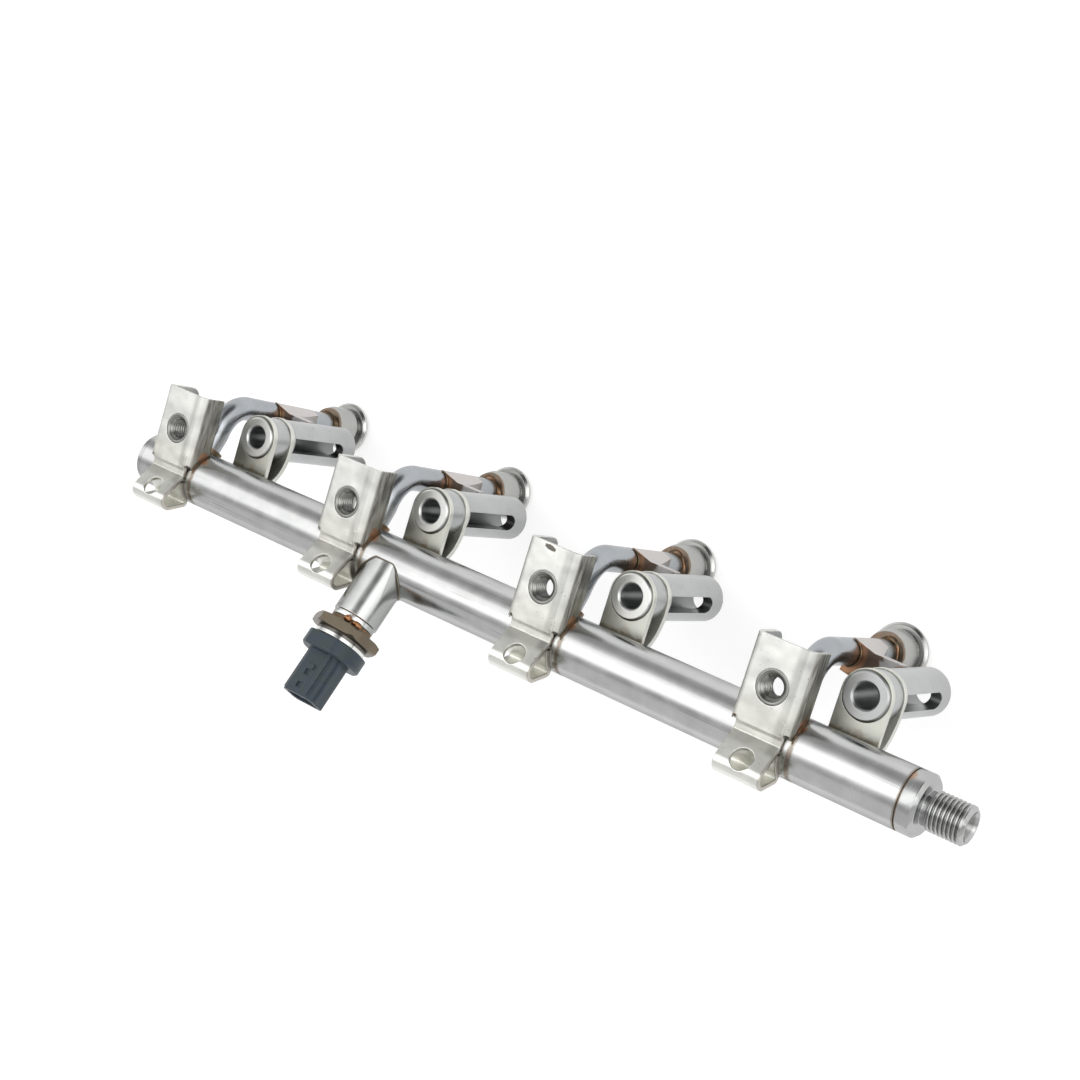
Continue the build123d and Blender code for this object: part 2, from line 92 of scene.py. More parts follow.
# %% Camera
eye = Vector((0.37007, 0.10965, 0.61930))
to_right = Vector((0.7780951, 0.29051236, -0.5569296))
upward = Vector((-0.32561295, 0.94474366, 0.03788965))
backward = Vector((0.53716312, 0.15186174, 0.829695))
lens = bpy.data.cameras.new("studio_eye")
lens.sensor_width = 36.0
lens.lens = 61.52
lens.clip_start = 0.01
lens.clip_end = 20.0
camera = bpy.data.objects.new("studio_eye", lens)
turn = Matrix((to_right, upward, backward)).transposed().to_4x4()
camera.matrix_world = Matrix.Translation(eye) @ turn
bpy.context.scene.collection.objects.link(camera)
bpy.context.scene.camera = camera
bpy.context.scene.view_settings.view_transform = "Standard"
print("camera at", [round(v, 3) for v in eye])

# %% [markdown]
# ## Short words for shader wiring
# Materials here are networks of small nodes. Wiring them by hand takes many lines, so these
# helpers each add one node and give back its output. A value may be a number, a colour or
# the output of another node.


# %% Wiring helpers
class Wiring:
    """One shader tree, with a short word for each kind of node that the finishes need."""

    def __init__(self, tree):
        self.tree = tree

    def node(self, kind, **settings):
        made = self.tree.nodes.new(kind)
        for key, value in settings.items():
            setattr(made, key, value)
        return made

    def feed(self, socket, value):
        """Links an output to the socket, or sets the socket's own value."""
        if isinstance(value, bpy.types.NodeSocket):
            self.tree.links.new(value, socket)
        elif isinstance(value, (tuple, list)) and socket.type == "RGBA":
            socket.default_value = (*value[:3], 1.0)
        else:
            socket.default_value = value

    def maths(self, operation, first, second=0.0, third=0.0):
        made = self.node("ShaderNodeMath", operation=operation)
        for socket, value in zip(made.inputs, (first, second, third)):
            self.feed(socket, value)
        return made.outputs[0]

    def times(self, first, second):
        return self.maths("MULTIPLY", first, second)

    def plus(self, first, second):
        return self.maths("ADD", first, second)

    def minus(self, first, second):
        return self.maths("SUBTRACT", first, second)

    def arrow(self, operation, first, second=(0.0, 0.0, 0.0)):
        """Vector arithmetic. A length, a distance or a dot product comes out as a number."""
        made = self.node("ShaderNodeVectorMath", operation=operation)
        self.feed(made.inputs[0], first)
        self.feed(made.inputs[1], second)
        return made.outputs["Value" if operation in ("LENGTH", "DOT_PRODUCT", "DISTANCE") else 0]

    def mixed(self, share, first, second):
        """The first colour where the share is 0, and the second where it is 1."""
        made = self.node("ShaderNodeMix", data_type="RGBA")
        self.feed(made.inputs[0], share)
        self.feed(made.inputs[6], first)
        self.feed(made.inputs[7], second)
        return made.outputs[2]

    def span(self, value, start, end, low=0.0, high=1.0):
        """A smooth step: low before start, high after end."""
        made = self.node("ShaderNodeMapRange", interpolation_type="SMOOTHSTEP")
        for name, number in (("Value", value), ("From Min", start), ("From Max", end),
                             ("To Min", low), ("To Max", high)):
            self.feed(made.inputs[name], number)
        return made.outputs["Result"]

    def band(self, value, start, rise, fall, end):
        """One between rise and fall, and zero before start and after end."""
        up = self.span(value, start, rise)
        down = self.span(value, fall, end, 1.0, 0.0)
        return self.times(up, down)

    def noise(self, where, scale, detail=3.0, roughness=0.55):
        made = self.node("ShaderNodeTexNoise")
        self.feed(made.inputs["Vector"], where)
        self.feed(made.inputs["Scale"], scale)
        self.feed(made.inputs["Detail"], detail)
        self.feed(made.inputs["Roughness"], roughness)
        return made.outputs["Fac"]

    def parts(self, vector):
        made = self.node("ShaderNodeSeparateXYZ")
        self.feed(made.inputs[0], vector)
        return made.outputs

    def joined(self, x, y, z):
        made = self.node("ShaderNodeCombineXYZ")
        for socket, value in zip(made.inputs, (x, y, z)):
            self.feed(socket, value)
        return made.outputs[0]

    def use(self, group, **inputs):
        made = self.node("ShaderNodeGroup")
        made.node_tree = group
        for name, value in inputs.items():
            self.feed(made.inputs[name.replace("_", " ")], value)
        return made.outputs


def new_group(name, inputs, outputs):
    """An empty node group, its wiring, and the sockets it is given and is wanted to fill.

    The inputs are listed as (name, kind, value), and the outputs as (name, kind)."""
    group = bpy.data.node_groups.new(name, "ShaderNodeTree")
    for label, kind, value in inputs:
        socket = group.interface.new_socket(label, in_out="INPUT", socket_type=kind)
        socket.default_value = value
    for label, kind in outputs:
        group.interface.new_socket(label, in_out="OUTPUT", socket_type=kind)
    wiring = Wiring(group)
    given, wanted = wiring.node("NodeGroupInput").outputs, wiring.node("NodeGroupOutput").inputs
    return group, wiring, given, wanted


FLOAT = "NodeSocketFloat"
VECTOR = "NodeSocketVector"
COLOUR = "NodeSocketColor"

# %% [markdown]
# ## Where a point lies on the rail
# Stains follow joints, and the four units are alike, 96 mm apart. This group turns a point of
# the object into millimetres from the bolt axis of its own unit, and also gives its height
# over the skin of the rail tube, which is where most of the brazing metal ran.

# %% Place group
place_group, w, _, wanted = new_group(
    "rail_place", [],
    [("Here", VECTOR), ("Unit", VECTOR), ("Over tube", FLOAT), ("From bolt", FLOAT)])
here = w.arrow("SCALE", w.node("ShaderNodeTexCoord").outputs["Object"])
here.node.inputs["Scale"].default_value = 1000.0
x, y, z = w.parts(here)[:3]
shifted = w.maths("FLOORED_MODULO", w.plus(x, 2 * unit_pitch), unit_pitch)
unit_x = w.minus(shifted, unit_pitch / 2)
from_axis = w.arrow("LENGTH", w.joined(0.0, w.minus(y, tube_y), w.minus(z, tube_z)))
w.feed(wanted["Here"], here)
w.feed(wanted["Unit"], w.joined(unit_x, y, z))
w.feed(wanted["Over tube"], w.minus(from_axis, tube_radius))
w.feed(wanted["From bolt"], w.arrow("LENGTH", w.joined(unit_x, y, 0.0)))
print("place group:", len(place_group.nodes), "nodes")

# %% [markdown]
# ## The surface of worked steel
# Drawn and rolled steel is never even. It has fine lines in the direction of working, cloudy
# patches where it was handled, and edges that tumbling has rubbed bright; the brightened edges
# are also a painted edge highlight. The lines are a noise that is stretched along the working
# direction. The edges come from a Bevel node, which bends the normal near an edge: where it
# differs from the face's own normal there is an edge.

# %% Worked-steel group
worked_group, w, given, wanted = new_group(
    "worked_steel",
    [("Place", VECTOR, (0, 0, 0)), ("Stretch", VECTOR, (0.1, 3.0, 3.0)),
     ("Edge width", FLOAT, 0.0003)],
    [("Lines", FLOAT), ("Clouds", FLOAT), ("Edges", FLOAT), ("Normal", VECTOR)])
lines = w.noise(w.arrow("MULTIPLY", given["Place"], given["Stretch"]), 1.0, 4.0, 0.65)
clouds = w.noise(given["Place"], 0.11, 3.0, 0.5)
soft = w.node("ShaderNodeBevel", samples=6)
w.feed(soft.inputs["Radius"], given["Edge width"])
plain = w.node("ShaderNodeNewGeometry").outputs["Normal"]
same = w.arrow("DOT_PRODUCT", soft.outputs["Normal"], plain)
w.feed(wanted["Lines"], lines)
w.feed(wanted["Clouds"], w.span(clouds, 0.3, 0.7))
w.feed(wanted["Edges"], w.span(same, 0.995, 0.90, 0.0, 1.0))
w.feed(wanted["Normal"], soft.outputs["Normal"])
print("worked steel group:", len(worked_group.nodes), "nodes")

# %% [markdown]
# ## The stain of furnace brazing
# Copper melts in the furnace and creeps along the steel. Next to a joint it stays as copper,
# then thins to brown, to an olive film and to a straw tint before the steel is clean. The
# group takes a distance from the joint in millimetres, on either side of it, breaks its edge up
# with noise and gives the colour and how much of the steel it covers.

# %% Braze-stain group
stain_group, w, given, wanted = new_group(
    "braze_stain",
    [("Place", VECTOR, (0, 0, 0)), ("Distance", FLOAT, 0.0), ("Reach", FLOAT, 5.0),
     ("Ragged", FLOAT, 0.5)],
    [("Colour", COLOUR), ("Cover", FLOAT)])
frayed = w.minus(w.noise(given["Place"], 0.55, 4.0, 0.6), 0.5)
away = w.maths("ABSOLUTE", given["Distance"])
moved = w.maths("MULTIPLY_ADD", w.times(frayed, given["Ragged"]), given["Reach"], away)
share = w.maths("DIVIDE", moved, given["Reach"])
stops = w.node("ShaderNodeValToRGB")
w.feed(stops.inputs["Fac"], share)
stain_stops = ((0.0, (0.24, 0.135, 0.08)), (0.16, (0.15, 0.10, 0.06)),
               (0.38, (0.15, 0.125, 0.08)), (0.62, (0.30, 0.28, 0.20)), (1.0, (0.50, 0.48, 0.40)))
ramp = stops.color_ramp
while len(ramp.elements) < len(stain_stops):
    ramp.elements.new(0.5)
for element, (at, colour) in zip(ramp.elements, stain_stops):
    element.position = at
    element.color = (*colour, 1.0)
w.feed(wanted["Colour"], stops.outputs["Color"])
w.feed(wanted["Cover"], w.span(share, 0.25, 1.0, 1.0, 0.0))
print("stain stops:", len(ramp.elements))


# %% [markdown]
# ## One recipe for every steel piece
# All the steels share a recipe: a base colour that the clouds and lines vary, brighter edges,
# a roughness that follows the same patterns, and a little bump from the lines. What differs
# is in the arguments, and each piece then adds its own stains before the colour goes into
# the shader. The rim is how much light the steel keeps at a grazing angle: ground tube keeps
# less than a turned boss, or the white floor would show in its lower side. A pressed sheet is
# never quite flat, so it also gets a swell, a slow wave that bends what it mirrors.


# %% Steel recipe
class Steel:
    """A steel finish under construction: stains are added one by one, and close() wires it."""

    def __init__(self, name, colour, roughness, stretch=(0.1, 3.0, 3.0), lines=0.10, clouds=0.12,
                 bump=0.10, edge=0.0003, edge_gain=0.25, swell=0.0, rim=0.8):
        self.material = bpy.data.materials.new(name)
        self.material.use_nodes = True
        self.w = w = Wiring(self.material.node_tree)
        self.shader = self.material.node_tree.nodes["Principled BSDF"]
        spot = w.use(place_group)
        self.here, self.unit = spot["Here"], spot["Unit"]
        self.over_tube, self.from_bolt = spot["Over tube"], spot["From bolt"]
        skin = w.use(worked_group, Place=self.here, Stretch=stretch, Edge_width=edge)
        self.normal, self.height = skin["Normal"], skin["Lines"]
        self.bump, self.rim, self.swell = bump, rim, swell
        line_wave, cloud_wave = w.minus(skin["Lines"], 0.5), w.minus(skin["Clouds"], 0.5)
        tone = w.maths("MULTIPLY_ADD", line_wave, lines, 1.0)
        tone = w.maths("MULTIPLY_ADD", cloud_wave, clouds, tone)
        # Painted edge highlight, partly rubbed wear: the colour is brightened near edges by
        # edge_gain.
        tone = w.maths("MULTIPLY_ADD", skin["Edges"], edge_gain, tone)
        self.colour = w.arrow("SCALE", tuple(colour))
        w.feed(self.colour.node.inputs["Scale"], tone)
        rough = w.maths("MULTIPLY_ADD", cloud_wave, 0.08, roughness)
        rough = w.maths("MULTIPLY_ADD", line_wave, 0.10, rough)
        self.rough = w.maths("MULTIPLY_ADD", skin["Edges"], -0.06, rough)

    def tint(self, share, colour):
        """Colours the share of the surface."""
        self.colour = self.w.mixed(share, self.colour, colour)

    def stain(self, distance, reach, ragged=0.5, strength=1.0, within=None):
        """Adds the furnace stain along a joint, within a mask where one is given."""
        made = self.w.use(stain_group, Place=self.here, Distance=distance, Reach=reach,
                          Ragged=ragged)
        cover = self.w.times(made["Cover"], strength)
        if within is not None:
            cover = self.w.times(cover, within)
        self.colour = self.w.mixed(cover, self.colour, made["Colour"])
        self.rough = self.w.maths("MULTIPLY_ADD", cover, 0.10, self.rough)

    def patch(self, centre, size, colour, share=1.0):
        """Colours a ragged patch round a place of the unit, in millimetres."""
        frayed = self.w.minus(self.w.noise(self.here, 0.6, 3.0), 0.5)
        straight = self.w.arrow("DISTANCE", self.unit, centre)
        away = self.w.maths("MULTIPLY_ADD", frayed, size, straight)
        self.tint(self.w.span(away, size, 0.5 * size, 0.0, share), colour)

    def specks(self, scale, start, full, share, colour):
        """Colours small specks, found where a fine noise rises from start to full."""
        spots = self.w.span(self.w.noise(self.here, scale, 2.0), start, full)
        self.tint(self.w.times(spots, share), colour)

    def close(self):
        """Wires the colour, roughness and bump into the shader, and returns the material."""
        lift = self.w.node("ShaderNodeBump")
        lift.inputs["Strength"].default_value = self.bump
        lift.inputs["Distance"].default_value = 0.00015
        self.w.feed(lift.inputs["Height"], self.height)
        normal = self.normal
        if self.swell:
            wave = self.w.node("ShaderNodeBump")
            wave.inputs["Strength"].default_value = self.swell
            wave.inputs["Distance"].default_value = 0.0012
            self.w.feed(wave.inputs["Height"], self.w.noise(self.here, 0.12, 1.0, 0.4))
            self.w.feed(wave.inputs["Normal"], normal)
            normal = wave.outputs["Normal"]
        self.w.feed(lift.inputs["Normal"], normal)
        self.w.feed(self.shader.inputs["Base Color"], self.colour)
        self.w.feed(self.shader.inputs["Roughness"], self.rough)
        self.w.feed(self.shader.inputs["Normal"], lift.outputs["Normal"])
        self.shader.inputs["Metallic"].default_value = 1.0
        self.shader.inputs["Specular Tint"].default_value = (self.rim, self.rim, self.rim, 1.0)
        return self.material


def dress(prefix, material):
    """Gives the material to each solid whose name starts with the prefix."""
    dressed = [node for name, node in nodes.items() if name.startswith(prefix)]
    for node in dressed:
        if not node.material_slots:
            node.data.materials.append(material)
        for slot in node.material_slots:
            slot.material = material
    print(prefix, "->", material.name, "on", len(dressed))


# %% [markdown]
# ## The rail tube
# The tube is ground bright along its length, so it mirrors the studio in long bands. It keeps a
# low roughness. Brown stain creeps out from under the saddles, the bracket flanges and the seam
# of the inlet collar, and a few long scratches are left from handling. Both are masks over the
# one colour, so the tube stays a single clean mesh.

# %% Tube steel
tube = Steel("tube_steel", (0.53, 0.535, 0.53), 0.23, stretch=(0.06, 2.2, 2.2), lines=0.06,
             bump=0.05, rim=0.55)
w = tube.w
x, y, z = w.parts(tube.unit)[:3]
beside_saddle = w.minus(w.maths("ABSOLUTE", x), 9.5)
tube.stain(beside_saddle, reach=1.6, ragged=0.9, strength=0.7, within=w.span(z, 60.0, 57.0))
beside_bracket = w.minus(w.maths("ABSOLUTE", w.minus(x, bracket_x)), 11.9)
near_flange = w.times(w.span(z, 62.0, 66.0), w.span(x, -23.0, -21.0))
tube.stain(beside_bracket, reach=1.7, ragged=1.2, strength=0.7, within=near_flange)
tube.patch((-10.4, -15.0, 70.5), 2.3, (0.36, 0.22, 0.14), 0.55)
tube.stain(w.minus(seam_x, w.parts(tube.here)[0]), reach=0.9, ragged=0.8, strength=0.6)
scratches = w.noise(w.arrow("MULTIPLY", tube.here, (0.02, 1.5, 1.5)), 1.0, 2.0)
tube.tint(w.times(w.span(scratches, 0.66, 0.70), 0.35), (0.22, 0.22, 0.21))
dress("rail_tube", tube.close())

# %% [markdown]
# ## Bosses, saddles, brackets and pipes
# The bosses are turned, so their fine lines run round them: the noise is stretched round the
# axis by reading height only. The saddles, brackets and links are pressed or cut from sheet
# and came out of the furnace with a film of straw and olive tints, strongest where copper ran.
# Each finish adds what is seen on its own piece: a dark line round the boss's end, painted shade
# with streaks on the bracket's near side, a burnt mark on the third bracket, copper beside the
# pipe on the link.

# %% Boss steel
boss = Steel("boss_steel", (0.44, 0.45, 0.45), 0.34, stretch=(0.25, 0.25, 3.0), lines=0.08,
             bump=0.08, rim=1.0)
w = boss.w
x, y, z = w.parts(boss.unit)[:3]
rings = w.noise(w.joined(w.times(boss.from_bolt, 4.0), 0.0, 0.0), 1.0, 2.0)
top_face = w.span(z, 53.7, 54.1)
# Painted highlight: the top face is tinted near white, at 0.9 on the first three units and 0.15 on
# the fourth.
bright = w.span(w.parts(boss.here)[0], 110.0, 100.0, 0.15, 0.9)
boss.tint(w.times(top_face, bright), (0.80, 0.80, 0.77))
# Painted shade: the boss is darker towards the bottom.
boss.tint(w.span(z, 26.0, 2.0, 0.0, 0.35), (0.30, 0.30, 0.29))
rim = w.times(w.span(boss.from_bolt, 8.2, 8.6), w.span(z, 53.0, 53.4))
boss.tint(w.times(rim, 0.7), (0.13, 0.125, 0.10))
boss.height = w.maths("MULTIPLY_ADD", w.times(rings, top_face), 0.8, boss.height)
# Painted shade inside the bore.
painted_bore_shade = w.times(w.span(boss.from_bolt, 4.7, 4.55), w.span(z, 54.0, 50.0))
boss.tint(w.times(painted_bore_shade, 0.75), (0.16, 0.165, 0.165))
beside_link = w.minus(w.maths("ABSOLUTE", w.minus(z, 20.0)), 2.2)
link_side = w.times(w.span(x, -2.0, -4.0), w.span(boss.from_bolt, 8.5, 8.7))
boss.stain(beside_link, reach=1.6, ragged=1.0, strength=0.7, within=link_side)
boss.specks(scale=0.7, start=0.66, full=0.72, share=0.35, colour=(0.15, 0.145, 0.125))
dress("mount_boss", boss.close())

# %% Saddle steel
saddle = Steel("saddle_steel", (0.66, 0.66, 0.61), 0.36, stretch=(1.2, 0.3, 0.3), bump=0.12)
w = saddle.w
z = w.parts(saddle.unit)[2]
front_wall = w.span(z, 52.6, 53.2)
saddle.tint(w.times(front_wall, 0.25), (0.44, 0.46, 0.37))
saddle.stain(w.minus(saddle.over_tube, 2.0), reach=2.1, ragged=1.0, strength=0.7)
saddle.patch((1.5, -12.6, 53.4), 2.2, (0.36, 0.23, 0.145), 0.25)
dress("boss_saddle", saddle.close())

# %% Bracket steel
bracket = Steel("bracket_steel", (0.68, 0.68, 0.65), 0.34, stretch=(0.5, 0.9, 0.5), clouds=0.14,
                bump=0.10, edge=0.0005, swell=0.35)
w = bracket.w
x, y, z = w.parts(bracket.unit)[:3]
bracket.tint(w.times(w.span(bracket.over_tube, 12.0, 2.0), 0.30), (0.60, 0.58, 0.47))
bracket.stain(w.minus(bracket.over_tube, 0.1), reach=1.6, ragged=1.2, strength=0.8)
side_lines = w.noise(w.arrow("MULTIPLY", bracket.here, (0.3, 0.10, 1.0)), 1.0, 3.0)
near_side = w.times(w.span(x, -12.1, -11.5), w.span(y, -22.0, -19.0))
# Painted shade: a grey band on the face beside the near bend.
painted_bend_shade = w.times(w.band(x, -18.0, -15.8, -14.4, -13.4), w.span(z, 75.0, 76.0))
bracket.tint(w.times(painted_bend_shade, 0.5), (0.34, 0.34, 0.32))
# Painted shade with streaks: the near flange is tinted dark at a share of 0.5 to 0.95, varied along
# the streaks.
near_side_shade_and_streaks = w.times(near_side, w.span(side_lines, 0.25, 0.62, 0.95, 0.5))
bracket.tint(near_side_shade_and_streaks, (0.115, 0.105, 0.085))
bracket.patch((-10.8, -14.0, 69.5), 3.4, (0.46, 0.25, 0.14), 0.85)
# Painted light: the loop, below y = -25, is tinted lighter.
bracket.tint(w.span(y, -25.0, -27.0, 0.0, 0.7), (0.88, 0.88, 0.83))
loop_side = w.times(w.span(x, -14.4, -13.6), w.span(y, -24.0, -26.0))
bracket.tint(w.times(loop_side, 0.5), (0.20, 0.15, 0.10))
mark_centre, mark_cos, mark_sin, mark_length = (23.8, 9.3, 0.0), 0.986, -0.164, 2.7
mark_place = w.arrow("SUBTRACT", bracket.here, mark_centre)
long_way = (mark_cos / mark_length, mark_sin / mark_length, 0.0)
mark_long = w.arrow("DOT_PRODUCT", mark_place, long_way)
mark_wide = w.arrow("DOT_PRODUCT", mark_place, (-mark_sin, mark_cos, 0.0))
mark = w.arrow("LENGTH", w.joined(mark_long, mark_wide, 0.0))
mark = w.plus(mark, w.minus(w.noise(bracket.here, 1.4, 2.0), 0.5))
on_face = w.span(w.parts(bracket.here)[2], 75.5, 76.2)
bracket.tint(w.times(w.span(mark, 1.05, 0.85, 0.0, 0.9), on_face), (0.07, 0.06, 0.045))
bracket.specks(scale=0.9, start=0.68, full=0.73, share=0.40, colour=(0.15, 0.135, 0.105))
dress("harness_bracket", bracket.close())

# %% Pipe steel
pipe = Steel("pipe_steel", (0.37, 0.39, 0.41), 0.24, stretch=(0.3, 0.3, 0.3), lines=0.08, bump=0.06)
w = pipe.w
x, y, z = w.parts(pipe.unit)[:3]
pipe.stain(w.minus(z, 22.3), reach=1.5, ragged=0.8, strength=0.8, within=w.span(x, -24.5, -22.5))
pipe.stain(w.minus(pipe.over_tube, 1.0), reach=2.4, ragged=0.9, strength=0.8)
pipe.stain(w.plus(z, 18.4), reach=1.6, ragged=0.8, strength=0.8)
dress("feed_pipe", pipe.close())

# %% Link steel
link = Steel("link_steel", (0.54, 0.525, 0.51), 0.34, stretch=(0.4, 0.4, 1.5), bump=0.10)
w = link.w
x, y, z = w.parts(link.unit)[:3]
front_face = w.span(z, 21.7, 21.95)
wander = w.times(w.minus(w.noise(link.here, 0.35, 2.0), 0.5), 5.0)
brown_side = w.span(w.plus(x, wander), -10.6, -12.2)
link.tint(w.times(front_face, w.times(brown_side, 0.92)), (0.15, 0.095, 0.062))
# Painted shadow of the pipe: the front face darkens below the pipe.
painted_pipe_shadow = w.span(y, 3.5, -2.0)
link.tint(w.times(front_face, w.times(painted_pipe_shadow, 0.85)), (0.09, 0.08, 0.05))
from_pipe = w.arrow("LENGTH", w.joined(w.minus(x, pipe_x), w.minus(y, pipe_y), 0.0))
streak = w.band(from_pipe, 5.0, 5.3, 7.0, 8.2)
link.tint(w.times(front_face, w.times(streak, 0.85)), (0.40, 0.215, 0.125))
# Partly a pink film and partly painted light: the top of the link is tinted lighter and pinker.
top_light_and_film = w.span(y, 8.0, 8.7)
behind_front = w.span(front_face, 1.0, 0.0)
link.tint(w.times(top_light_and_film, w.times(behind_front, 0.5)), (0.66, 0.60, 0.58))
link.stain(w.minus(link.from_bolt, 8.8), reach=1.6, ragged=1.0, strength=0.6,
           within=w.span(y, 8.0, 5.0))
dress("cup_link", link.close())

# %% [markdown]
# ## Cups, port and fittings
# The injector cups and the inlet are turned on a lathe, so rings follow the axis of each.
# Their polish is high. The neck of each cup is dark where the copper ring melted into it, and
# the roots of the threads and the mouth of the bore are dark because little light gets there.
#
# The port mirrors the studio in straight bands right up to its root, although the root spreads.
# So the outer wall takes the normal of a plain round wall, which points straight away from the
# port's axis, and only the stepped end keeps the normal of its own faces.

# %% Cup steel
cup = Steel("cup_steel", (0.42, 0.42, 0.405), 0.25, stretch=(0.2, 0.2, 2.4), lines=0.08, bump=0.07)
w = cup.w
z = w.parts(cup.unit)[2]
# Painted light: the lip at the cup's mouth is tinted near white.
cup.tint(w.span(z, -33.0, -33.4, 0.0, 0.6), (0.74, 0.74, 0.72))
cup.stain(w.minus(-19.8, z), reach=1.3, ragged=0.9, strength=0.85)
# Painted shade in the groove next to the lip.
painted_groove_shade = w.band(z, -32.95, -32.75, -31.3, -31.0)
cup.tint(w.times(painted_groove_shade, 0.35), (0.15, 0.145, 0.13))
dress("injector_cup", cup.close())


# %% Port steel
def port_place(w, here, direction):
    """How far a point lies from the port's centre in a direction, in millimetres."""
    away = w.arrow("SUBTRACT", here, tuple(port_centre))
    return w.arrow("DOT_PRODUCT", away, tuple(direction))


port = Steel("port_steel", (0.60, 0.61, 0.60), 0.21, stretch=(1.6, 0.1, 0.1), lines=0.05,
             bump=0.05, rim=0.4)
w = port.w
to_ahead, to_aside, to_end = (port_place(w, port.here, way) for way in (ahead, aside, out))
# Painted shade: one side of the port's wall is tinted dark.
painted_side_shade = w.times(w.span(to_ahead, 8.1, 8.6), w.span(to_aside, -3.4, -2.2))
port.tint(w.times(painted_side_shade, 0.6), (0.24, 0.25, 0.24))
from_port = w.joined(to_ahead, w.times(to_aside, aside[1]), w.times(to_aside, aside[2]))
outer_wall = w.times(w.span(to_end, 24.5, 23.0), w.span(w.arrow("LENGTH", from_port), 7.0, 8.0))
wall_part = w.arrow("SCALE", w.arrow("NORMALIZE", from_port))
w.feed(wall_part.node.inputs["Scale"], outer_wall)
end_part = w.arrow("SCALE", port.normal)
w.feed(end_part.node.inputs["Scale"], w.minus(1.0, outer_wall))
port.normal = w.arrow("NORMALIZE", w.arrow("ADD", wall_part, end_part))
port_finish = port.close()
dress("sensor_port", port_finish)

# %% Fitting and nut steel
fitting = Steel("fitting_steel", (0.44, 0.445, 0.44), 0.22, stretch=(2.6, 0.15, 0.15), lines=0.10,
                bump=0.08)
w = fitting.w
x = w.parts(fitting.here)[0]
fitting.stain(w.minus(x, seam_x + 0.3), reach=0.7, ragged=0.8, strength=0.8)
fitting.patch((29.0, -14.0, 69.3), 2.6, (0.40, 0.22, 0.125), 0.7)
from_centre = w.plus(fitting.over_tube, tube_radius)
on_thread = w.times(w.span(from_centre, 6.80, 6.20), w.band(x, 181.2, 181.8, 193.4, 194.0))
fitting.tint(w.times(on_thread, 0.6), (0.17, 0.17, 0.16))
fitting.tint(w.times(w.span(from_centre, 3.9, 3.3), 0.85), (0.05, 0.05, 0.045))
fitting_finish = fitting.close()
dress("end_plug", fitting_finish)

nut_steel = Steel("nut_steel", (0.34, 0.34, 0.32), 0.30, stretch=(0.3, 0.3, 2.0), bump=0.08)
w = nut_steel.w
x, y = w.parts(nut_steel.unit)[:2]
from_hole = w.arrow("LENGTH", w.joined(w.minus(x, bracket_x), w.minus(y, nut_y), 0.0))
turning = w.noise(w.joined(w.times(from_hole, 2.6), w.times(x, 0.1), 0.0), 1.0, 2.0)
nut_steel.tint(w.span(turning, 0.50, 0.40, 0.0, 0.75), (0.10, 0.10, 0.09))
nut_finish = nut_steel.close()

# %% [markdown]
# ## Brazing metal
# The copper itself shows in a few places as smooth drops and thin fillets. It is bright orange
# where it is thick, and brown where a film of oxide covers it, which a coarse noise decides.
# Round the foot of the sensor port it is only a thin dark line with hardly any copper in it.

# %% Braze metal
braze = Steel("braze_metal", (0.29, 0.17, 0.10), 0.32, stretch=(0.5, 0.5, 0.5), lines=0.2,
              bump=0.14)
w = braze.w
film = w.span(w.noise(braze.here, 0.28, 3.0), 0.36, 0.52)
braze.tint(w.times(film, 0.85), (0.13, 0.105, 0.07))
braze_finish = braze.close()
dress("pipe_collar", braze_finish)
copper = Steel("bright_copper", (0.37, 0.18, 0.085), 0.22, stretch=(0.3, 0.3, 0.3), lines=0.3,
               bump=0.04, edge=0.0001, edge_gain=0.0)
copper_finish = copper.close()
seam = Steel("seam_steel", (0.20, 0.175, 0.14), 0.32, stretch=(0.5, 0.5, 0.5), lines=0.3,
             bump=0.10)
seam_finish = seam.close()
print("brazing metals:", braze_finish.name, copper_finish.name, seam_finish.name)

# %% [markdown]
# ## The pressure sensor
# The hexagon is plated to an olive bronze, the crimped ring is bright, and the connector is
# moulded in slate-blue nylon. Moulded plastic has a fine grain and a slight mottle of the glass
# fibre in it. Its edges are painted paler, partly as wear where they are handled and partly as
# a painted edge highlight.

# %% Sensor finishes
bronze = Steel("sensor_bronze", (0.17, 0.142, 0.105), 0.33, stretch=(1.5, 1.5, 0.3), clouds=0.3,
               bump=0.10)
w = bronze.w
pink = w.span(w.parts(bronze.here)[0], -57.5, -62.0)
bronze.tint(w.times(pink, 0.6), (0.24, 0.20, 0.195))
bronze.stain(w.minus(port_place(w, bronze.here, out), 28.6), reach=1.8, ragged=1.0, strength=0.9)
dress("sensor_body", bronze.close())
silver = Steel("sensor_silver", (0.78, 0.78, 0.76), 0.16, stretch=(0.4, 0.4, 0.4), lines=0.05,
               bump=0.04)
w = silver.w
# Painted shadow: the side of the bright ring next to the hexagon is tinted dark.
painted_crimp_shadow = w.span(port_place(w, silver.here, out), 36.1, 35.7, 0.0, 0.9)
silver.tint(painted_crimp_shadow, (0.07, 0.062, 0.05))
dress("sensor_ring", silver.close())
tin = Steel("terminal_tin", (0.74, 0.73, 0.70), 0.25, stretch=(0.5, 0.5, 0.5))
dress("terminal", tin.close())

# %% Connector plastic
plastic = bpy.data.materials.new("connector_plastic")
plastic.use_nodes = True
w = Wiring(plastic.node_tree)
spot = w.use(place_group)
skin = w.use(worked_group, Place=spot["Here"], Stretch=(1.4, 1.4, 1.4), Edge_width=0.0004)
mottle = w.noise(spot["Here"], 0.22, 3.0)
slate = w.mixed(w.span(mottle, 0.4, 0.65), (0.024, 0.039, 0.058), (0.025, 0.042, 0.045))
